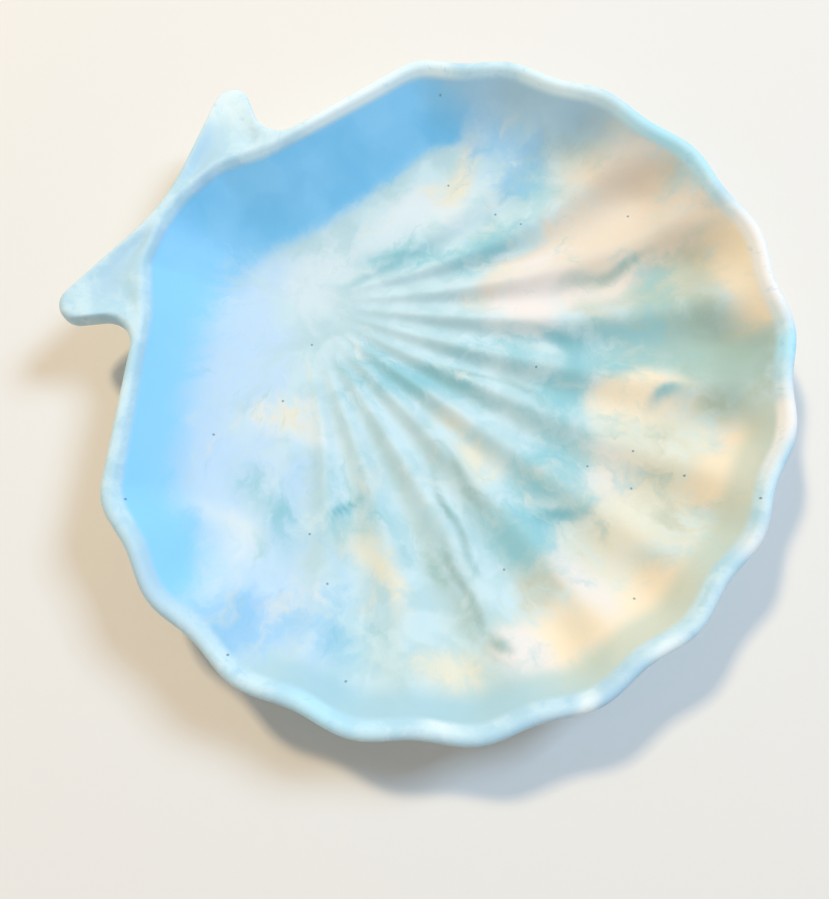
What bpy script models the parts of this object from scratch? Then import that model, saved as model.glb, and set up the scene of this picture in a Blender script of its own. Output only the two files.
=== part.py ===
"""Scallop shell trinket dish, cast in one piece: a shallow fluted bowl with a rounded lip and two
flat ears at the hinge. Metres, +Z up; the foot's underside is Z = 0, the hinge is at -Y and the
fan at +Y. The one body is a loft of closed loops that run from the knob, the point on the bowl's
floor where the flutes start, out over the lip and the ears, and back under to the foot's middle."""

import math

import bpy
import numpy as np

# Sizes in millimetres, angles in degrees. Plan positions are from the shell's centre.
SHELL_RADIUS = 60.6  # mean radius of the rim
FAN_REACH = 0.0445  # share by which the rim reaches further towards the fan
CHEEK_REACH = 0.0182  # share by which it reaches further at the two sides
CORNER_PULL = 0.0114  # share by which the rim squares off between them
LOBE_PITCH = 17.66  # angle from one scallop of the rim to the next
LOBE_HEIGHT = 0.62  # how far each scallop stands out from the mean rim
LOBED_TO = 117.0  # angle from the fan's axis where the scalloped rim ends
LIP_WIDTH = 3.4  # the rounded rim, seen from above
LIP_ROUND = 1.5  # radius of its two edges
EAR_THICKNESS = 3.8  # ears and rim edge
EAR_HOLLOW = 0.7  # shallow hollow in the top of each ear
EAR_ROOT = 1.8  # extra wall under the lip where an ear joins it
EAR_FROM = 5.1  # width at which the lip starts to turn into an ear
EAR_FULL = 11.2  # and at which it is one
RIM_UNDER = 2.6  # how far out from the bowl's edge the rim's underside starts
UNDER_ROUND = 0.9  # rounding of the rim's lower edge
DISH_HEIGHT = 17.0  # table to rim
BOWL_DEPTH = 11.2  # inner edge of the lip to the deepest floor
FAN_WALL = 8.0  # run of the steep wall inside the lip, on the fan side
HINGE_WALL = 12.8  # the same at the hinge
HINGE_FROM = 14.0  # distance from the centre towards the hinge where the wall starts to widen
HINGE_FULL = 34.0  # and where it is at its widest
WALL_WAVE = 0.42  # share by which that run is longer at a ridge than in a flute
WALL_FILLET = 0.26  # how softly the steep wall turns into the floor, as a share of its run
FLOOR_RUN = 52.0  # distance over which the floor goes on sinking
WALL_SHARE = 0.54  # part of the depth that the steep wall makes
RIDGE_HEIGHT = 1.7  # ridge crest over flute bottom, inside
RIDGE_CREST = 0.75  # roundness of the crest, as a share of the flute's height
FLUTE_SINK = 0.45  # share of the ridge height by which the flutes lie below the plain floor
RIDGE_START = 8.0  # distance from the knob at which the ridges rise
RIDGE_FULL = 40.0  # and at which they are full height
FLUTE_BOW = 5.0  # how far the flutes bow towards the fan, midway
FLUTED_TO = (70.0, 118.0)  # angles from the fan's axis where the flutes fade, and where they end
RIB_HEIGHT = 1.2  # crest over hollow on the underside
BELLY_SHARE = 0.6  # part of the underside's height that its steep wall makes
BELLY_RUN = 0.33  # run of that wall, as a share of the way from rim to foot
FOOT_RADIUS = 24.0  # flat round foot
FOOT_Y = -2.0  # its middle
KNOB_Y = -27.5  # where the flutes start

# Corners (x, y, fillet radius) of one side of the outline past the scallops.
OUTER_CORNERS = ((49.8, -32.6, 9.0), (19.9, -46.3, 4.9), (30.9, -60.5, 3.0), (0.0, -54.5, 50.0))
# The same for the bowl's inner edge, which passes inside the ears.
INNER_CORNERS = ((47.0, -30.2, 8.0), (18.0, -44.4, 20.0), (10.5, -50.0, 5.0), (0.0, -52.4, 25.0))

STEPS_PER_LOBE = 8
LEG_STEPS = (9, 8, 9)  # points along shoulder to notch, notch to ear tip, ear tip to hinge middle
WALL_INSETS = (0.9, 2.0, 3.2, 4.3, 5.4, 6.8, 9.0, 11.6)  # rings of points on the steep wall
FLOOR_SHARES = (0.08, 0.19, 0.32, 0.46, 0.6, 0.74, 0.87)  # rings from there to the knob
UNDER_SHARES = (0.05, 0.11, 0.18, 0.28, 0.42, 0.6, 0.8)  # rings from the rim's underside to the foot


def smooth(x):
    """0 below 0, 1 above 1, an S curve between."""
    x = np.clip(x, 0.0, 1.0)
    return x * x * (3 - 2 * x)


def rim_radius(angle):
    """Radius of the scalloped rim at an angle from the fan's axis, in radians."""
    even = 1 + FAN_REACH * np.cos(angle) - CHEEK_REACH * np.cos(2 * angle) - CORNER_PULL * np.cos(3 * angle)
    return SHELL_RADIUS * even + LOBE_HEIGHT * np.cos(2 * math.pi * angle / math.radians(LOBE_PITCH))


def resample(points, steps):
    """The polyline cut into this many equal lengths, without its first point."""
    points = np.array(points)
    run = np.concatenate([[0], np.cumsum(np.hypot(*np.diff(points, axis=0).T))])
    at = np.linspace(0, run[-1], steps + 1)[1:]
    return np.stack([np.interp(at, run, points[:, 0]), np.interp(at, run, points[:, 1])], -1)


def fillet(before, corner, after, radius):
    """The two halves of the arc that rounds a corner, as two lists of points that share its middle."""
    corner, before, after = (np.array(p, float)[:2] for p in (corner, before, after))
    u = (before - corner) / np.linalg.norm(before - corner)
    v = (after - corner) / np.linalg.norm(after - corner)
    half = math.acos(np.clip(u @ v, -1, 1)) / 2
    reach = radius / math.tan(half)
    middle = corner + (u + v) / np.linalg.norm(u + v) * radius / math.sin(half)
    start, end = corner + u * reach - middle, corner + v * reach - middle
    turn = math.pi - 2 * half
    arc = [
        middle + (start * math.sin(turn * (1 - t)) + end * math.sin(turn * t)) / math.sin(turn)
        for t in np.linspace(0, 1, 17)
    ]
    return arc[:9], arc[8:]


def half_loop(inset, corners):
    """One side of a loop, from the fan's axis to the hinge's: scallops, then the filleted corners."""
    steps = round(LOBED_TO / LOBE_PITCH * STEPS_PER_LOBE)
    angle = np.radians(LOBED_TO) * np.arange(steps + 1) / steps
    radius = rim_radius(angle) - inset
    scallops = np.stack([radius * np.sin(angle), radius * np.cos(angle)], -1)
    last = tuple(scallops[-1])
    mirrored = (-corners[-2][0], corners[-2][1])
    shoulder, notch, tip, hinge = (
        fillet(before, corner, after, corner[2])
        for before, corner, after in zip((last,) + corners[:-1], corners, corners[1:] + (mirrored,))
    )
    legs = ([last] + shoulder[0] + shoulder[1] + notch[0], notch[1] + tip[0], tip[1] + hinge[0])
    return np.concatenate([scallops] + [resample(leg, steps) for leg, steps in zip(legs, LEG_STEPS)])


def whole_loop(half):
    """The half loop and its mirror image, anticlockwise seen from above."""
    return np.concatenate([half * [-1, 1], half[-2:0:-1]])


def distance_to(points, loop):
    """Shortest distance from each point to the closed loop of straight pieces."""
    along_loop = np.roll(loop, -1, axis=0) - loop
    along = ((points[:, None] - loop) * along_loop).sum(-1) / (along_loop * along_loop).sum(-1)
    near = loop + np.clip(along, 0, 1)[..., None] * along_loop
    return np.linalg.norm(points[:, None] - near, axis=-1).min(axis=1)


def flutes(angle):
    """Cross-section of the flutes round the rim: -FLUTE_SINK in each scallop, 1 - FLUTE_SINK at a ridge."""
    soft = RIDGE_CREST**2
    wave = np.sqrt(np.cos(math.pi * angle / math.radians(LOBE_PITCH)) ** 2 + soft)
    section = (math.sqrt(1 + soft) - wave) / (math.sqrt(1 + soft) - RIDGE_CREST) - FLUTE_SINK
    fade_from, fade_to = FLUTED_TO
    return section * (1 - smooth((np.abs(np.degrees(angle)) - fade_from) / (fade_to - fade_from)))


def floor_height(points, ridge, mouth):
    """Height of the bowl's inside: a steep wall with a fillet, a gently sinking floor, and ridges."""
    inset = distance_to(points, mouth)
    hinge = smooth((-points[:, 1] - HINGE_FROM) / (HINGE_FULL - HINGE_FROM))
    from_knob = np.linalg.norm(points - [0.0, KNOB_Y], axis=1)
    grown = smooth((from_knob - RIDGE_START) / (RIDGE_FULL - RIDGE_START))
    wall = (FAN_WALL + (HINGE_WALL - FAN_WALL) * hinge) * (1 + WALL_WAVE * ridge * grown)
    past = np.logaddexp(0, (inset / wall - 1) / WALL_FILLET) - np.logaddexp(0, -1 / WALL_FILLET)
    steep = inset / wall - WALL_FILLET * past
    gentle = 1 - np.clip(1 - inset / FLOOR_RUN, 0, 1) ** 2
    sunk = BOWL_DEPTH * (WALL_SHARE * steep + (1 - WALL_SHARE) * gentle)
    return DISH_HEIGHT - LIP_ROUND - sunk + RIDGE_HEIGHT * ridge * grown * smooth(inset / FAN_WALL)


def inside_rings(mouth, ridge):
    """Rings of points over the bowl's inside, from near the knob out to the wall."""
    knob = np.array([0.0, KNOB_Y])
    to_knob = knob - mouth
    run = np.linalg.norm(to_knob, axis=1)
    towards_fan = smooth(0.5 - to_knob[:, 1] / run)
    wall_share = WALL_INSETS[-1] / run
    shares = [wall_share + (1 - wall_share) * share for share in FLOOR_SHARES[::-1]]
    shares += [inset / run for inset in WALL_INSETS[::-1]]
    for share in shares:
        at = mouth + to_knob * share[:, None]
        at[:, 1] += FLUTE_BOW * towards_fan * np.sin(math.pi * share)
        yield np.column_stack([at, floor_height(at, ridge, mouth)])


def lip_rings(mouth, edge):
    """Rings of points over the lip and ears, from the bowl's inner edge to the rim's underside."""
    width = np.linalg.norm(edge - mouth, axis=1)
    out = (edge - mouth) / width[:, None]
    bend = np.minimum(LIP_ROUND, 0.42 * width)
    flat = width - 2 * bend
    ear = smooth((width - EAR_FROM) / (EAR_FULL - EAR_FROM))
    hollow = EAR_HOLLOW * ear
    lip_z, shoulder_z, under_z = (
        DISH_HEIGHT - LIP_ROUND,
        DISH_HEIGHT - 0.3 * LIP_ROUND,
        DISH_HEIGHT - EAR_THICKNESS,
    )
    root = RIM_UNDER + EAR_ROOT * ear
    for from_mouth, height in (
        (0 * width, lip_z),
        (0.3 * bend, shoulder_z),
        (bend, DISH_HEIGHT),
        (bend + 0.3 * flat, DISH_HEIGHT - hollow),
        (bend + 0.7 * flat, DISH_HEIGHT - 0.5 * hollow),
        (bend + flat, DISH_HEIGHT),
        (width - 0.3 * bend, shoulder_z),
        (width, lip_z),
        (width, under_z + UNDER_ROUND),
        (width - np.minimum(UNDER_ROUND, 0.3 * width), under_z),
        (np.minimum(root, 0.7 * width), under_z - UNDER_ROUND),
    ):
        at = mouth + out * from_mouth[:, None]
        yield np.column_stack([at, np.broadcast_to(height, len(at))])


def under_rings(start, ridge):
    """Rings of points over the underside, from just under the rim to the edge of the flat foot."""
    middle = np.array([0.0, FOOT_Y])
    outward = start[:, :2] - middle
    foot = middle + outward / np.linalg.norm(outward, axis=1)[:, None] * FOOT_RADIUS
    for share in UNDER_SHARES + (1.0,):
        at = start[:, :2] + (foot - start[:, :2]) * share
        wall = BELLY_SHARE * max(0.0, 1 - share / BELLY_RUN) ** 2
        height = start[:, 2] * (wall + (1 - BELLY_SHARE) * (1 - share) ** 2)
        rib = RIB_HEIGHT * ridge * smooth(share / UNDER_SHARES[1]) * smooth((1 - share) / 0.8)
        yield np.column_stack([at, height + rib])


def lofted_dish():
    """Points and faces of the dish, in millimetres, with its plan centred on the origin."""
    edge = whole_loop(half_loop(0.0, OUTER_CORNERS))
    mouth = whole_loop(half_loop(LIP_WIDTH, INNER_CORNERS))
    ridge = flutes(np.arctan2(mouth[:, 0], mouth[:, 1]))
    rings = list(inside_rings(mouth, ridge)) + list(lip_rings(mouth, edge))
    rings += under_rings(rings[-1], ridge)
    knob = np.array([[0.0, KNOB_Y]])
    knob_point = np.column_stack([knob, floor_height(knob, np.zeros(1), mouth)])
    points = np.concatenate([knob_point] + rings + [[[0.0, FOOT_Y, 0.0]]])
    points[:, :2] -= (points[:, :2].min(axis=0) + points[:, :2].max(axis=0)) / 2

    count = len(edge)
    following = np.roll(np.arange(count), -1)
    faces = [(0, 1 + j, 1 + following[j]) for j in range(count)]
    for i in range(len(rings) - 1):
        near, far = 1 + i * count, 1 + (i + 1) * count
        faces += [(near + j, far + j, far + following[j], near + following[j]) for j in range(count)]
    last, foot = 1 + (len(rings) - 1) * count, len(points) - 1
    faces += [(last + j, foot, last + following[j]) for j in range(count)]
    return points, faces


def cast_stone():
    """Satin cast mineral, pale blue."""
    material = bpy.data.materials.new("cast_stone")
    material.use_nodes = True
    shader = material.node_tree.nodes["Principled BSDF"]
    shader.inputs["Base Color"].default_value = (0.62, 0.76, 0.80, 1.0)
    shader.inputs["Roughness"].default_value = 0.45
    shader.inputs["Metallic"].default_value = 0.0
    return material


for old in list(bpy.data.objects):
    bpy.data.objects.remove(old, do_unlink=True)

collection = bpy.data.collections.new("shell_trinket_dish")
bpy.context.scene.collection.children.link(collection)

points, faces = lofted_dish()
mesh = bpy.data.meshes.new("shell_dish")
mesh.from_pydata([tuple(0.001 * p) for p in points], [], [tuple(int(i) for i in f) for f in faces])
mesh.shade_smooth()
mesh.materials.append(cast_stone())
dish = bpy.data.objects.new("shell_dish", mesh)
collection.objects.link(dish)
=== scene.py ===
"""Shell trinket dish on a pale table: one marbled casting, a table top, two soft lamps and a camera."""

import math

import bpy
import numpy as np
from mathutils import Matrix


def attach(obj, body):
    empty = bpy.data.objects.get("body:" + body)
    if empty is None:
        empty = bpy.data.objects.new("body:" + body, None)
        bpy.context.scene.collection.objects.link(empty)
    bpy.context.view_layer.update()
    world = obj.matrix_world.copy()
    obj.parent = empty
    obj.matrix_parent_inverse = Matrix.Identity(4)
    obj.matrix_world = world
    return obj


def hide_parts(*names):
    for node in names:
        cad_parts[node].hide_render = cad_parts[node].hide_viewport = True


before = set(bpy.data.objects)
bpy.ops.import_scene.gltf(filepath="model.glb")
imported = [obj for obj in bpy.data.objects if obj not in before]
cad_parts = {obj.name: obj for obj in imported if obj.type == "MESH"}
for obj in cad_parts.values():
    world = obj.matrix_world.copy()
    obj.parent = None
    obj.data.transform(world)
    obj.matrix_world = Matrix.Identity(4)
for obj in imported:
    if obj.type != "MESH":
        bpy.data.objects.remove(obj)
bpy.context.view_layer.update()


# Dish.
# A single casting of mineral powder and resin, poured into a shell mould. The bowl is fluted, the lip
# is a rounded bead, and two flat ears stand out at the hinge. Sizes are millimetres and degrees.

SHELL_RADIUS = 60.6  # mean radius of the scalloped edge
FAN_REACH, CHEEK_REACH, CORNER_PULL = 0.0445, 0.0182, 0.0114  # the edge's slow departures from a circle
LOBE_PITCH, LOBE_HEIGHT, LOBED_TO = 17.66, 0.62, 117.0  # scallops, and the angle at which they end
DISH_HEIGHT, BOWL_DEPTH = 17.0, 11.2  # BOWL_DEPTH is from the lip's inner edge to the deepest floor
LIP_WIDTH, LIP_ROUND, OUTER_ROUND = 3.4, 1.5, 1.3  # its inner edge's drop, its outer edge's radius
LIP_BEND, LIP_STRAIGHT = 2.1, 0.45  # reach of its inner side, and the share of that which is straight
EAR_THICKNESS, EAR_ROOT = 3.8, 1.8  # EAR_ROOT is what an ear adds to the lip's underside
EAR_HOLLOW, HOLLOW_SIDES = 0.7, (0.3, 0.65)  # depth, and the shares of the width in which it sinks and rises
EAR_FROM, EAR_FULL = 5.1, 11.2  # lip widths at which an ear begins and is full
RIM_UNDER, UNDER_ROUND = 2.6, 0.9  # narrow underside of the lip, and its outer edge's radius
BEND_MOST, OUTER_MOST, UNDER_MOST, TUCK_MOST = 0.6, 0.36, 0.7, 0.3  # their most, as shares of the width
FAN_WALL, HINGE_WALL, HINGE_FROM, HINGE_FULL = 8.0, 12.8, 14.0, 34.0  # the wall's reach
WALL_WAVE, WALL_FILLET, WALL_SHARE = 0.42, 0.26, 0.54  # shares of the wall's reach and of the depth
FLOOR_RUN = 52.0  # distance from the lip at which the floor is level
RIDGE_HEIGHT, RIDGE_CREST, FLUTE_SINK = 1.7, 0.75, 0.45  # softness of the crest, share below the floor
RIDGE_START, RIDGE_FULL = 8.0, 40.0  # distances from the knob between which the ridges grow
FLUTE_BOW, FLUTED_TO = 5.0, (70.0, 118.0)  # sideways bow, and the angles over which the ridges fade
RIB_HEIGHT, RIB_FADES = 1.2, (0.11, 0.8)  # ribs below, fading by the lip and towards the foot
BELLY_SHARE, BELLY_RUN = 0.6, 0.33  # the underside's steep part, as shares of its height and its run
FOOT_RADIUS, FOOT_Y, KNOB_Y = 24.0, -2.0, -27.5  # the ridges meet at the knob
WALL_RINGS_REACH, WALL_RINGS, FLOOR_RINGS = 13.5, 34, 48  # close rings, then wider ones
# Corners beside the scallops, as x, y and fillet radius: shoulder, notch, the ear's tip and the hinge.
OUTER_CORNERS = ((49.8, -32.6, 9.0), (19.9, -46.3, 4.9), (30.9, -60.5, 3.0), (0.0, -54.5, 50.0))
INNER_CORNERS = ((47.0, -30.2, 8.0), (18.0, -44.4, 20.0), (10.5, -50.0, 5.0), (0.0, -52.4, 25.0))
SCALLOP_STEPS, LEG_STEPS, FILLET_STEPS = 190, (38, 34, 38), 16
LIP_RINGS, TOP_RINGS, ROUND_RINGS, SIDE_RINGS, UNDER_RINGS = 12, 12, 8, 4, 30
UNDER_CROWDING = 1.25  # crowds the underside's rings towards the lip
NEAREST_TO, MEAN_FROM, SMALLEST_GAP = 2.0, 5.0, 0.3  # for distances to the lip


def smooth(x):
    """0 below 0, 1 above 1, and x^2 (3 - 2x) between."""
    x = np.clip(x, 0.0, 1.0)
    return x * x * (3 - 2 * x)


def rim_radius(angle):
    """R (1 + a cos t - b cos 2t - c cos 3t) + h cos(2 pi t / pitch), with t from the fan's axis."""
    even = 1 + FAN_REACH * np.cos(angle) - CHEEK_REACH * np.cos(2 * angle)
    even -= CORNER_PULL * np.cos(3 * angle)
    return SHELL_RADIUS * even + LOBE_HEIGHT * np.cos(2 * math.pi * angle / math.radians(LOBE_PITCH))


def resample(points, steps):
    """The polyline cut into this many equal lengths, without its first point."""
    points = np.array(points)
    run = np.concatenate([[0], np.cumsum(np.hypot(*np.diff(points, axis=0).T))])
    at = np.linspace(0, run[-1], steps + 1)[1:]
    return np.stack([np.interp(at, run, points[:, 0]), np.interp(at, run, points[:, 1])], -1)


def fillet(before, corner, after, radius):
    """The two halves of the arc that rounds a corner, as two lists of points that share its middle."""
    corner, before, after = (np.array(p, float)[:2] for p in (corner, before, after))
    u = (before - corner) / np.linalg.norm(before - corner)
    v = (after - corner) / np.linalg.norm(after - corner)
    half = math.acos(np.clip(u @ v, -1, 1)) / 2
    reach = radius / math.tan(half)
    middle = corner + (u + v) / np.linalg.norm(u + v) * radius / math.sin(half)
    start, end = corner + u * reach - middle, corner + v * reach - middle
    turn = math.pi - 2 * half
    t = np.linspace(0, 1, 2 * FILLET_STEPS + 1)[:, None]
    arc = list(middle + (start * np.sin(turn * (1 - t)) + end * np.sin(turn * t)) / math.sin(turn))
    return arc[: FILLET_STEPS + 1], arc[FILLET_STEPS:]


def whole_loop(inset, corners):
    """Scallops on the rim curve less the inset, the filleted corners, and the mirror image of both."""
    angle = np.radians(LOBED_TO) * np.arange(SCALLOP_STEPS + 1) / SCALLOP_STEPS
    radius = rim_radius(angle) - inset
    scallops = np.stack([radius * np.sin(angle), radius * np.cos(angle)], -1)
    last = tuple(scallops[-1])
    mirrored = (-corners[-2][0], corners[-2][1])
    shoulder, notch, tip, hinge = (
        fillet(before, corner, after, corner[2])
        for before, corner, after in zip((last,) + corners[:-1], corners, corners[1:] + (mirrored,))
    )
    legs = ([last] + shoulder[0] + shoulder[1] + notch[0], notch[1] + tip[0], tip[1] + hinge[0])
    half = np.concatenate([scallops] + [resample(leg, steps) for leg, steps in zip(legs, LEG_STEPS)])
    return np.concatenate([half * [-1, 1], half[-2:0:-1]])


def inset_from(points, loop):
    """Distance to the loop: the nearest point's close to it, and farther off the mean over the loop
    ((5 pi / 16) / sum(ds / d^8))^(1/7), which is exact for a straight side and has no creases where two
    sides are equally near."""
    straight_side = 5 * math.pi / 16
    span = np.roll(loop, -1, axis=0) - loop
    length = np.linalg.norm(span, axis=1)
    inset = np.empty(points.shape[:2])
    for ring, row in enumerate(points):
        along = ((row[:, None] - loop) * span).sum(-1) / length**2
        gap = np.linalg.norm(row[:, None] - loop - np.clip(along, 0, 1)[..., None] * span, axis=-1)
        near = gap.min(axis=1)
        mean = (straight_side / (length / np.maximum(gap, SMALLEST_GAP) ** 8).sum(axis=1)) ** (1 / 7)
        inset[ring] = near + (mean - near) * smooth((near - NEAREST_TO) / (MEAN_FROM - NEAREST_TO))
    return inset


edge = whole_loop(0.0, OUTER_CORNERS)
mouth = whole_loop(LIP_WIDTH, INNER_CORNERS)
around = np.arctan2(mouth[:, 0], mouth[:, 1])

# Flutes: (sqrt(1 + s) - sqrt(cos^2 (pi t / pitch) + s)) scaled to 1, less the part below the plain floor.
crest_soft = RIDGE_CREST**2
wave = np.sqrt(np.cos(math.pi * around / math.radians(LOBE_PITCH)) ** 2 + crest_soft)
ridge = (math.sqrt(1 + crest_soft) - wave) / (math.sqrt(1 + crest_soft) - RIDGE_CREST) - FLUTE_SINK
ridge *= 1 - smooth((np.abs(np.degrees(around)) - FLUTED_TO[0]) / (FLUTED_TO[1] - FLUTED_TO[0]))

# Bowl: rings from near the knob out to the lip's inner edge.
knob = np.array([0.0, KNOB_Y])
to_knob = knob - mouth
run = np.linalg.norm(to_knob, axis=1)
wall_insets = np.linspace(0, WALL_RINGS_REACH, WALL_RINGS)[::-1]
floor_shares = np.linspace(0, 1, FLOOR_RINGS + 2)[1:-1][::-1]
wall_share = wall_insets[0] / run
floor_share = wall_share + (1 - wall_share) * floor_shares[:, None]
share = np.concatenate([floor_share, wall_insets[:, None] / run])
inside = mouth + to_knob * share[..., None]
inside[..., 1] += FLUTE_BOW * smooth(0.5 - to_knob[:, 1] / run) * np.sin(math.pi * share)


def floor_height(points, ridge):
    """A steep wall that a soft-plus curve turns into a floor sinking as 1 - (1 - d / run)^2, plus ridges.
    Gives the height, the distance d from the lip and the wall's reach."""
    inset = inset_from(points, mouth)
    knob_gap = np.linalg.norm(points - knob, axis=-1)
    hinge = smooth((-points[..., 1] - HINGE_FROM) / (HINGE_FULL - HINGE_FROM))
    grown = smooth((knob_gap - RIDGE_START) / (RIDGE_FULL - RIDGE_START))
    wall = (FAN_WALL + (HINGE_WALL - FAN_WALL) * hinge) * (1 + WALL_WAVE * ridge * grown)
    past = np.logaddexp(0, (inset / wall - 1) / WALL_FILLET) - np.logaddexp(0, -1 / WALL_FILLET)
    steep = inset / wall - WALL_FILLET * past
    gentle = 1 - np.clip(1 - inset / FLOOR_RUN, 0, 1) ** 2
    sunk = BOWL_DEPTH * (WALL_SHARE * steep + (1 - WALL_SHARE) * gentle)
    raised = RIDGE_HEIGHT * ridge * grown * smooth(inset / FAN_WALL)
    return DISH_HEIGHT - LIP_ROUND - sunk + raised, inset, wall


inside_height, inside_inset, inside_wall = floor_height(inside, ridge)

# Lip and ears: its inner side goes on at the wall's slope and then rounds over to level, each ear has a
# hollow, and the outer edge and the narrow underside follow.
width = np.linalg.norm(edge - mouth, axis=1)
outward = (edge - mouth) / width[:, None]
bend = np.minimum(LIP_BEND, BEND_MOST * width)
outer_bend = np.minimum(OUTER_ROUND, OUTER_MOST * width)
ear = smooth((width - EAR_FROM) / (EAR_FULL - EAR_FROM))
arc = np.linspace(0, math.pi / 2, ROUND_RINGS)[:, None]
bead = np.linspace(0, 1, LIP_RINGS)[:, None]
rounded = np.maximum(0, bead - LIP_STRAIGHT) ** 2 / (2 * (1 - LIP_STRAIGHT))
rise = 2 / (1 + LIP_STRAIGHT) * (bead - rounded)
top = np.linspace(0, 1, TOP_RINGS + 2)[1:-1, None]
lip_z, under_z = DISH_HEIGHT - LIP_ROUND, DISH_HEIGHT - EAR_THICKNESS
root = np.minimum(RIM_UNDER + EAR_ROOT * ear, UNDER_MOST * width)
tuck = np.minimum(UNDER_ROUND, TUCK_MOST * width)
down = np.linspace(0, 1, SIDE_RINGS + 1)[1:, None]
hollow = EAR_HOLLOW * ear * smooth(top / HOLLOW_SIDES[0]) * smooth((1 - top) / HOLLOW_SIDES[1])
lip_out = np.concatenate([
    bend * bead,
    bend + (width - bend - outer_bend) * top,
    width - outer_bend * (1 - np.sin(arc)),
    width + 0 * down,
    width - tuck * (1 - np.cos(arc[1:])),
    width - tuck + (root - width + tuck) * down,
])
lip_height = np.concatenate([
    lip_z + LIP_ROUND * rise + 0 * width,
    DISH_HEIGHT - hollow,
    DISH_HEIGHT - OUTER_ROUND * (1 - np.cos(arc)) + 0 * width,
    DISH_HEIGHT - OUTER_ROUND + (under_z + UNDER_ROUND - DISH_HEIGHT + OUTER_ROUND) * down + 0 * width,
    under_z + UNDER_ROUND * (1 - np.sin(arc[1:])) + 0 * width,
    under_z - UNDER_ROUND * down + 0 * width,
])
lip = mouth + outward * lip_out[..., None]

# Underside: a steep belly wall, a slower slope, shallow ribs under the flutes, and a flat round foot.
start, start_z = lip[-1], lip_height[-1]
middle = np.array([0.0, FOOT_Y])
foot = middle + (start - middle) / np.linalg.norm(start - middle, axis=1)[:, None] * FOOT_RADIUS
under_share = np.linspace(0, 1, UNDER_RINGS + 1)[1:, None] ** UNDER_CROWDING
under = start + (foot - start) * under_share[..., None]
belly = BELLY_SHARE * np.maximum(0, 1 - under_share / BELLY_RUN) ** 2
under_height = start_z * (belly + (1 - BELLY_SHARE) * (1 - under_share) ** 2)
ribs = RIB_HEIGHT * ridge * smooth(under_share / RIB_FADES[0]) * smooth((1 - under_share) / RIB_FADES[1])
under_height += ribs

plan = np.concatenate([inside, lip[1:], under])
height = np.concatenate([inside_height, lip_height[1:], under_height])
knob_height = floor_height(knob[None, None], np.zeros((1, 1)))[0][0, 0]
points = np.concatenate([
    [[0.0, KNOB_Y, knob_height]],
    np.dstack([plan, height]).reshape(-1, 3),
    [[0.0, FOOT_Y, 0.0]],
])
centre_y = (edge[:, 1].min() + edge[:, 1].max()) / 2
points[:, 1] -= centre_y
rings, count = height.shape
grid = 1 + np.arange(rings * count).reshape(rings, count)
beside = np.roll(grid, -1, axis=1)
quads = np.stack([grid[:-1], grid[1:], beside[1:], beside[:-1]], -1).reshape(-1, 4)
first = np.stack([np.zeros(count, int), grid[0], beside[0]], -1)
last = np.stack([grid[-1], np.full(count, len(points) - 1), beside[-1]], -1)

mesh = bpy.data.meshes.new("dish")
mesh.from_pydata((0.001 * points).tolist(), [], quads.tolist() + first.tolist() + last.tolist())
mesh.shade_smooth()
dish = bpy.data.objects.new("dish", mesh)
bpy.context.scene.collection.objects.link(dish)


def point_field(name, values):
    """One number for each point of the dish, for its material to read."""
    mesh.attributes.new(name, "FLOAT", "POINT").data.foreach_set("value", values.astype(np.float32))


def whole_dish(at_knob, bowl, over_lip, below):
    """One value for each point: the knob's, the bowl's rings, the lip's rings, and the underside's."""
    underside = np.full(under[..., 0].size + 1, below)
    return np.concatenate([[at_knob], bowl.ravel(), over_lip.ravel(), underside])


KNOB_INSET, OUTSIDE_INSET = 25.0, -60.0  # deep inside the lip, and well outside it
inset = whole_dish(KNOB_INSET, inside_inset, -lip_out[1:], OUTSIDE_INSET)
point_field("inset", inset)

# Where each pigment lies, in plan, and where some shade and light are painted. The pour has stirred it, so
# the places are bent before the look-up.
x, y = points[:, 0], points[:, 1]
stirred_x = x + 1.3 * np.sin(y / 4.1 + 1.2 * np.sin(x / 6.7)) + 0.7 * np.sin(x / 2.3 + y / 3.7)
stirred_y = y + 1.3 * np.sin(x / 4.7 + 1.4 * np.sin(y / 5.9)) + 0.7 * np.sin(y / 2.6 - x / 3.1)


POOL_REACH = 1.7  # how far a pool's soft edge goes, as a multiple of its half sizes


def pools(name, *fields):
    """One pool layer's share at each point: 1 - product of (1 - strength S). Most layers are pigments;
    some are painted shade or painted light. Each pool is (x, y, half length, half width, turn in degrees,
    strength). S falls from 1 to 0 as the distance from the pool's middle, over its half sizes, goes from 0
    to POOL_REACH."""
    bare = np.ones(len(points))
    for at_x, at_y, length, breadth, turn, strength in fields:
        c, s = math.cos(math.radians(turn)), math.sin(math.radians(turn))
        along = (c * (stirred_x - at_x) + s * (stirred_y - at_y)) / length
        across = (c * (stirred_y - at_y) - s * (stirred_x - at_x)) / breadth
        bare *= 1 - strength * smooth(1 - np.hypot(along, across) / POOL_REACH)
    point_field(name, 1 - bare)


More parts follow.
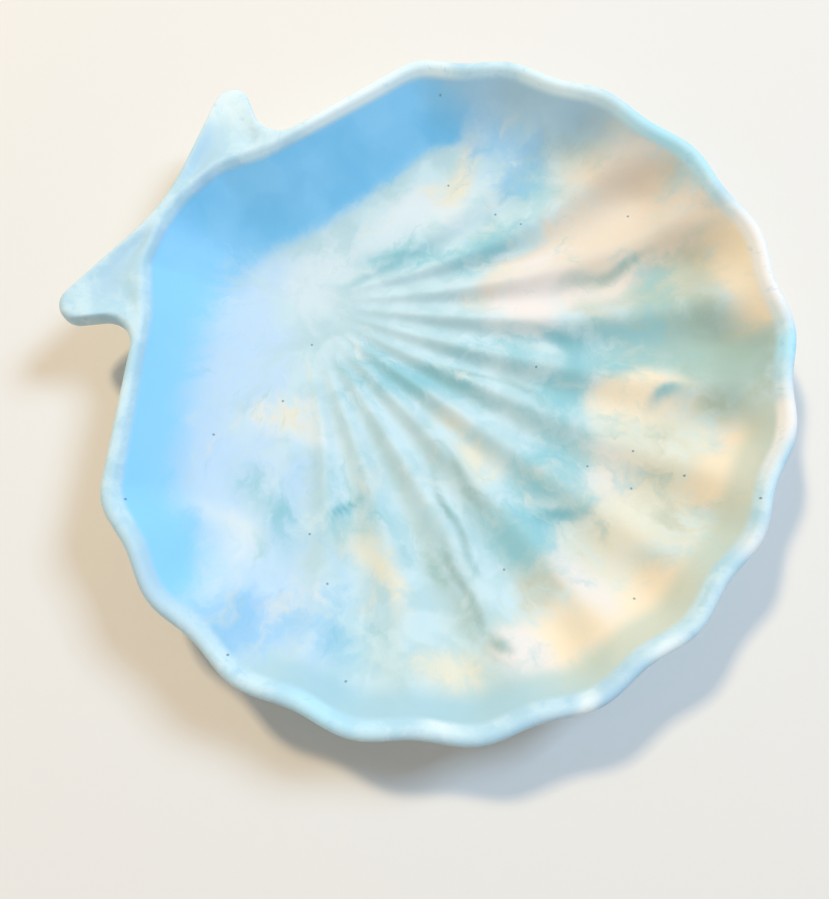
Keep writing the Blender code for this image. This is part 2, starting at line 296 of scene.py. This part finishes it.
# Floor of the bowl.
pools("lilac", (34, -22, 22, 14, 35, 0.8), (50, -4, 12, 16, 0, 0.8), (10, -34, 20, 9, 10, 0.8),
      (38, -4, 9, 12, 0, 0.25))
pools("white", (-6, -28, 12, 6, 20, 0.6), (-27, -19, 13, 4, -25, 1), (42, -15, 3, 9, 5, 0.75),
      (20, -17, 4, 9, 20, 0.9), (-40, -8, 8, 5, -30, 0.4))
pools("cream", (2, 42, 30, 14, 0, 0.9), (-38, -17, 9, 3.5, -10, 0.8), (34, 8, 3, 12, -25, 0.8),
      (45, 28, 6, 7, 0, 0.8), (8, 12, 3.5, 7, -10, 0.8), (20, -19, 3, 6, 10, 0.6))
pools("sand", (-50, 11, 10, 13, -20, 1), (-40, 11, 13, 8, -35, 1), (-41, 22, 14, 6, -38, 1),
      (-27, 4, 10, 4.5, -35, 1), (-45, 30, 10, 6, -40, 0.7), (-33, 22, 10, 6, -38, 0.5))
pools("khaki", (-40, 31, 11, 7, -40, 0.9), (-8, 41, 10, 8, 20, 0.45), (8, 37, 9, 6, 20, 0.35),
      (2, 48, 5, 4, 0, 0.7), (23, 33, 8, 5, 0, 0.7))
# Partly painted shade: the thin pools at (33, 24), (-33, 21) and (-45, 27) are lines of shade beside crests.
pools("grey_green_and_ridge_shade", (-30, 38, 8, 13, 28, 0.85), (-26, 28, 11, 7, 0, 0.9), (-27, 46, 8, 7, 0, 1),
      (-54, -1, 4, 8, 0, 0.5), (33, 24, 1.8, 13, -28, 0.6), (-33, 21, 9, 2, -38, 0.5),
      (-45, 27, 8, 2, -38, 0.4))
pools("peach", (16, 50, 8, 4.5, 0, 0.8), (-9, 51, 7, 4.5, 0, 0.9), (23, 46, 10, 6, -35, 1),
      (31, 40, 6, 6, -35, 1), (-15.5, 33, 4.5, 8, 35, 1), (-45, 38, 9, 6, 45, 1),
      (-16, 49, 5, 5, 20, 0.8), (-40, 44, 5, 5, 40, 0.8))
pools("pink", (-22, 8, 9, 5, -30, 1), (19, 38, 4, 9, -15, 0.8), (36, 37, 5, 6, -35, 0.9),
      (1, 32, 5, 9, 0, 0.6), (-31, 16, 11, 3.5, -38, 0.5), (-30, 5, 8, 2.5, -35, 0.7))
pools("teal", (-15, 21, 11, 5, -20, 1), (3, 25, 9, 5, 0, 1), (16, 28, 6, 7, 0, 0.9),
      (1, -3, 5, 12, 10, 0.9), (-18, -16, 10, 4, -57, 0.6), (-29, -5, 7, 5, -30, 0.9),
      (-44, -4, 6, 6, 0, 0.7), (8, 30, 6, 7, 0, 0.6), (36, -12, 4, 9, -20, 0.6), (29, 0, 6, 7, -30, 0.6),
      (46, 8, 6, 9, 0, 0.45), (30, 22, 3, 9, -25, 0.2), (-10, 6, 4, 11, 15, 0.5),
      (18, 22, 4, 9, -20, 0.35), (-26, 29, 6, 5, 0, 0.5))
pools("sky", (-47, -14, 7, 12, 0, 0.8), (55, -7, 7, 9, 20, 0.9), (50, -22, 7, 9, 30, 0.45),
      (48, 4, 5, 8, 10, 0.3))
pools("deep_teal", (-17, 38, 4, 1.2, -36, 0.8), (27, -2, 4, 1, -7, 0.8), (-19, 21, 4, 4, 0, 0.5),
      (12, 32, 1.8, 5, 50, 0.9), (-17, -18, 6, 1.1, -57, 0.5), (-19, 16, 1.4, 7, 20, 0.8),
      (-10, -22, 5, 1, -45, 0.4))
# Painted shade: thin grey green lines on the shaded side of the ridges.
pools("painted_ridge_shade", (29.5, 22, 10, 1.1, 57, 0.6), (36, 34, 3, 1.5, 62, 0.6), (20, 14, 12, 1.3, 60, 0.6),
      (12, 12, 12, 1.3, 72, 0.5), (-36, 17, 10, 1.5, 145, 0.6), (-5, 8, 12, 1.2, 98, 0.5))
# Walls of the bowl. The light blue fades out about 7 mm inside the lip at the right, and 11 mm at the
# hinge. The deep blue covers the wall from the hinge to the left cheek, down to the wall's foot. Both
# blues are partly the casting's colour and partly painted shade, where the hinge walls lie in shade.
toward_left = smooth((12 - stirred_x) / 20)
blue_edge = 7 + 4 * smooth((22 - stirred_x) / 20)
past_edge = inset - blue_edge
by_hinge = smooth((-6 - stirred_y) / 14)
not_left = 1 - smooth((-6 - stirred_x) / 20)
point_field("light_blue_and_shade", smooth((5 - past_edge) / 10) * by_hinge * not_left)
past_foot = whole_dish(3.0, inside_inset / inside_wall, 0 * lip_out[1:], 0.0)
point_field("deep_blue_and_shade", smooth((1.28 - past_foot) / 0.46) * toward_left * smooth((-15 - stirred_y) / 11))
# Lip and ears.
pools("lip_peach", (-46, 40, 13, 6, 45, 1), (-21, 57, 12, 4, -15, 1), (0, 60, 5, 3, 0, 0.8))
pools("lip_cyan", (-33, 51, 7, 4, -30, 1), (-58, 16, 4, 12, 0, 0.9), (-8, 61, 6, 3, 0, 0.8),
      (57, 14, 5, 9, 0, 0.6))
# Partly painted light: the pools from (-50, -30) on brighten the lip at the hinge and the left cheek, where
# it lies in shade.
pools("lip_white_and_painted_light", (24, 54, 3, 2, -30, 0.9), (36, 48, 3, 2, -40, 0.9), (51, 30, 4, 3, -50, 0.8),
      (-50, -30, 12, 5, 60, 0.5), (-59, -8, 5, 12, 0, 0.7), (-36, -40, 17, 7, 156, 1),
      (-24, -57, 7, 5, 0, 0.7))
pools("lip_blue", (15, -56, 6, 3, 10, 0.8), (-13, -56, 6, 3, -10, 0.8), (-8, -53, 6, 2, 0, 0.6),
      (8, -53, 6, 2, 0, 0.6), (56, -20, 8, 12, 20, 0.8), (33, 50, 16, 7, -35, 0.6))

material = bpy.data.materials.new("marbled_stone")
material.use_nodes = True
nodes, links = material.node_tree.nodes, material.node_tree.links
shader = nodes["Principled BSDF"]


def add(kind, feeds, output=0, **settings):
    """A node with its settings and with values or other nodes' outputs on its sockets, as its output."""
    made = nodes.new("ShaderNode" + kind)
    for name, value in settings.items():
        setattr(made, name, value)
    for socket, value in feeds.items():
        if isinstance(value, bpy.types.NodeSocket):
            links.new(value, made.inputs[socket])
        else:
            made.inputs[socket].default_value = value
    return made.outputs[output]


def ramp(value, start, end, low=0.0, high=1.0):
    """low at start, high at end, and an S curve between."""
    feeds = {"Value": value, "From Min": start, "From Max": end, "To Min": low, "To Max": high}
    return add("MapRange", feeds, interpolation_type="SMOOTHSTEP")


def calc(operation, *values):
    """One sum on numbers."""
    return add("Math", dict(enumerate(values)), operation=operation)


def sums(operation, *values):
    """One sum on vectors."""
    return add("VectorMath", dict(enumerate(values)), operation=operation)


def pigment(red, green, blue):
    """The linear colour of 8-bit screen values: c / 12.92 to 0.04045, then ((c + 0.055) / 1.055)^2.4."""
    shown = (np.array([red, green, blue]) / 255).tolist()
    return [c / 12.92 if c <= 0.04045 else ((c + 0.055) / 1.055) ** 2.4 for c in shown] + [1.0]


def stir(under_colour, colour, amount):
    """A colour laid over another by an amount from 0 to 1."""
    return add("Mix", {0: amount, 6: under_colour, 7: colour}, 2, data_type="RGBA")


def cloud(where, size, detail=2.0, roughness=0.5, output="Fac"):
    """Soft noise whose lumps are about this many millimetres across."""
    feeds = {"Vector": where, "Scale": 1 / size, "Detail": detail, "Roughness": roughness}
    return add("TexNoise", feeds, output)


def field(name):
    """One of the dish's point fields."""
    return add("Attribute", {}, "Fac", attribute_name=name)


object_place = add("TexCoord", {}, "Object")
place = sums("MULTIPLY", object_place, (1000.0, 1000.0, 1000.0))
flat = sums("MULTIPLY", place, (1.0, 1.0, 0.0))
curl = sums("SUBTRACT", cloud(flat, 9.0, 4.0, 0.6, "Color"), (0.5, 0.5, 0.5))
poured = sums("ADD", flat, sums("MULTIPLY", curl, (11.0, 11.0, 0.0)))

# Streaks drawn out from the knob: noise on the angle about it, in radians, and a little on the distance.
from_knob = sums("SUBTRACT", poured, (0.0, KNOB_Y - centre_y, 0.0))
knob_x, knob_y = add("SeparateXYZ", {0: from_knob}, 0), add("SeparateXYZ", {0: from_knob}, 1)
knob_distance = add("VectorMath", {0: from_knob}, 1, operation="LENGTH")
knob_angle = calc("MULTIPLY", calc("ARCTAN2", knob_y, knob_x), 9.0)
drawn = add("CombineXYZ", {0: knob_angle, 1: calc("MULTIPLY", knob_distance, 0.07)})
streak = cloud(drawn, 1.0, 4.0, 0.6)
second_streak = cloud(sums("ADD", drawn, (40.0, 7.0, 0.0)), 1.3, 4.0, 0.65)
off_knob = ramp(knob_distance, 4.0, 16.0)
streaked = calc("MULTIPLY", calc("SUBTRACT", streak, 0.5), off_knob)
frayed = calc("ADD", streaked, calc("SUBTRACT", cloud(poured, 6.0, 5.0, 0.65), 0.5))


def lay(under_colour, colour, name, fray):
    """A colour laid on by its point field f, at f + 4 f (1 - f) n, where n is the fraying noise."""
    laid = field(name)
    half_laid = calc("MULTIPLY", calc("MULTIPLY", laid, calc("SUBTRACT", 1.0, laid)), 4.0 * fray)
    amount = calc("ADD", laid, calc("MULTIPLY", half_laid, frayed))
    return stir(under_colour, colour, ramp(amount, 0.0, 1.0))


colour = stir(pigment(194, 219, 221), pigment(211, 230, 232), ramp(cloud(poured, 8.0), 0.38, 0.62))
# Laid on in this order: the pool's name, its colour and how much its edge frays.
for name, shade, fray in (
    ("lilac", (203, 225, 243), 1.6),
    ("white", (229, 236, 236), 1.6),
    ("cream", (240, 230, 206), 1.6),
    ("sand", (240, 222, 200), 1.6),
    ("khaki", (204, 206, 186), 1.6),
    ("grey_green_and_ridge_shade", (177, 200, 189), 1.6),
    ("peach", (255, 234, 204), 0.9),
    ("pink", (245, 233, 225), 0.9),
    ("teal", (154, 204, 210), 1.6),
    ("sky", (164, 208, 236), 1.6),
    ("deep_teal", (128, 186, 194), 0.5),
    ("painted_ridge_shade", (146, 176, 166), 0.7),
):
    colour = lay(colour, pigment(*shade), name, fray)

# Thin streaks of aqua and cream, drawn out from the knob.
aqua_share = calc("MULTIPLY", ramp(streak, 0.54, 0.72, 0.0, 0.45), off_knob)
cream_share = calc("MULTIPLY", ramp(second_streak, 0.54, 0.74, 0.0, 0.5), off_knob)
colour = stir(colour, pigment(158, 204, 208), aqua_share)
colour = stir(colour, pigment(240, 232, 216), cream_share)
# Partly painted shade: the blues of the hinge walls, laid on where those walls lie in shade.
colour = lay(colour, pigment(152, 216, 255), "light_blue_and_shade", 0.6)
deep_blue_and_shade = stir(pigment(122, 196, 234), pigment(142, 206, 240), ramp(cloud(poured, 14.0), 0.3, 0.7))
colour = lay(colour, deep_blue_and_shade, "deep_blue_and_shade", 0.8)

# Walls at the fan, the right and the left cheek. The khaki at the fan and the grey blue at the left
# cheek are painted shade, darkening those walls against the floor.
inset_field = field("inset")
flat_x, flat_y = add("SeparateXYZ", {0: poured}, 0), add("SeparateXYZ", {0: poured}, 1)
fan_wall_shade = calc("MULTIPLY", ramp(inset_field, 5.2, 2.2), ramp(flat_y, 22.0, 42.0))
fan_wall_shade = calc("MULTIPLY", fan_wall_shade, ramp(flat_x, -28.0, -16.0, 0.0, 0.75))
colour = stir(colour, pigment(206, 214, 196), fan_wall_shade)
right_side = calc("MULTIPLY", ramp(flat_x, 30.0, 44.0), ramp(flat_y, -6.0, 8.0))
right_wall = calc("MULTIPLY", ramp(inset_field, 6.0, 2.0), right_side)
colour = stir(colour, pigment(176, 212, 222), calc("MULTIPLY", right_wall, 0.8))
cheek_side = calc("MULTIPLY", ramp(flat_x, -42.0, -52.0), ramp(flat_y, 12.0, 0.0))
cheek_wall_shade = calc("MULTIPLY", ramp(inset_field, 8.0, 2.0), cheek_side)
colour = stir(colour, pigment(172, 204, 220), calc("MULTIPLY", cheek_wall_shade, 0.8))

# Lip, ears and outside: ice blue, with peach white where the fan meets the left cheek. The white laid
# on the lip at the hinge and along the left cheek is painted light, brightening the lip where it lies in
# shade.
rim_place = sums("ADD", place, sums("MULTIPLY", curl, (9.0, 9.0, 9.0)))
pale_share = ramp(cloud(rim_place, 6.0, 4.0, 0.6), 0.38, 0.62)
rim_colour = stir(pigment(190, 222, 233), pigment(214, 236, 241), pale_share)
for name, shade in (
    ("lip_peach", (255, 246, 238)),
    ("lip_cyan", (190, 236, 250)),
    ("lip_blue", (186, 216, 232)),
    ("lip_white_and_painted_light", (240, 250, 248)),
):
    rim_colour = lay(rim_colour, pigment(*shade), name, 0.5)
wisps = ramp(cloud(rim_place, 3.0, 4.0, 0.65), 0.56, 0.72, 0.0, 0.4)
rim_colour = stir(rim_colour, pigment(166, 208, 228), wisps)
colour = stir(colour, rim_colour, ramp(inset_field, 0.4, -0.7))

# Pinholes: specks of burst air bubbles, in the few cells that are picked.
cells = {"Vector": flat, "Scale": 0.17}
speck = ramp(add("TexVoronoi", cells, "Distance", voronoi_dimensions="2D"), 0.05, 0.02)
cell_colour = add("TexVoronoi", cells, "Color", voronoi_dimensions="2D")
picked = ramp(add("SeparateColor", {0: cell_colour}, 0), 0.075, 0.07)
colour = stir(colour, pigment(96, 130, 150), calc("MULTIPLY", calc("MULTIPLY", speck, picked), 0.75))

links.new(colour, shader.inputs["Base Color"])
gloss = ramp(cloud(place, 9.0, 3.0, 0.6), 0.3, 0.7, 0.56, 0.68)
links.new(gloss, shader.inputs["Roughness"])
shader.inputs["Specular IOR Level"].default_value = 0.35
shader.inputs["Subsurface Weight"].default_value = 0.25
shader.inputs["Subsurface Radius"].default_value = (1.0, 0.8, 0.65)
shader.inputs["Subsurface Scale"].default_value = 0.003  # metres, as is the bump's distance
grain = cloud(place, 5.0, 3.0, 0.5)
bump = nodes.new("ShaderNodeBump")
bump.inputs["Strength"].default_value = 0.25
bump.inputs["Distance"].default_value = 0.0004
links.new(grain, bump.inputs["Height"])
links.new(bump.outputs["Normal"], shader.inputs["Normal"])
mesh.materials.append(material)
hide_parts("shell_dish")
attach(dish, "root")


# Table top.
# A plain matt surface, far wider than the view, that takes the dish's shadow.

TABLE_HALF = 6.0  # metres
table_corners = [(TABLE_HALF * i, TABLE_HALF * j, 0) for i, j in ((-1, -1), (1, -1), (1, 1), (-1, 1))]
floor_mesh = bpy.data.meshes.new("table_top")
floor_mesh.from_pydata(table_corners, [], [(0, 1, 2, 3)])
table_top = bpy.data.objects.new("table_top", floor_mesh)
bpy.context.scene.collection.objects.link(table_top)
paint = bpy.data.materials.new("pale_top")
paint.use_nodes = True
paint.node_tree.nodes["Principled BSDF"].inputs["Base Color"].default_value = (0.90, 0.83, 0.76, 1.0)
paint.node_tree.nodes["Principled BSDF"].inputs["Roughness"].default_value = 0.9
floor_mesh.materials.append(paint)


# Lamps and camera.
# A warm key lamp from beyond the hinge, a cool one from beyond the fan, and an even white sky. On a level
# surface they add up to about white, at which a colour renders as it is written.


def lamp(name, place, size, watts, colour):
    """A square area lamp that faces the dish."""
    data = bpy.data.lights.new(name, "AREA")
    data.size, data.energy, data.color = size, watts, colour
    made = bpy.data.objects.new(name, data)
    bpy.context.scene.collection.objects.link(made)
    made.location = place
    turn = -made.location.normalized()
    made.rotation_mode = "QUATERNION"
    made.rotation_quaternion = turn.to_track_quat("-Z", "Y")


lamp("key", (-0.192, -0.551, 0.932), 0.12, 6.0, (1.0, 0.82, 0.54))
lamp("cool", (-0.72, 0.43, 1.05), 0.4, 11.2, (0.44, 0.70, 1.0))

world = bpy.data.worlds.new("sky")
bpy.context.scene.world = world
world.use_nodes = True
world.node_tree.nodes["Background"].inputs["Color"].default_value = (1.0, 1.0, 1.0, 1.0)
world.node_tree.nodes["Background"].inputs["Strength"].default_value = 0.34

camera = bpy.data.objects.new("camera", bpy.data.cameras.new("camera"))
bpy.context.scene.collection.objects.link(camera)
camera.data.lens, camera.data.sensor_width = 36.04, 36.0  # 900 pixels, in a frame 899 pixels high
right, up = (-0.50964, 0.86007, 0.02320), (-0.82086, -0.49413, 0.28640)
look = (-0.25779, -0.12691, -0.95783)
camera.matrix_world = Matrix((right, up, [-v for v in look])).transposed().to_4x4()
camera.location = (0.05413, 0.02357, 0.15715)
bpy.context.scene.camera = camera
bpy.context.scene.view_settings.view_transform = "Standard"
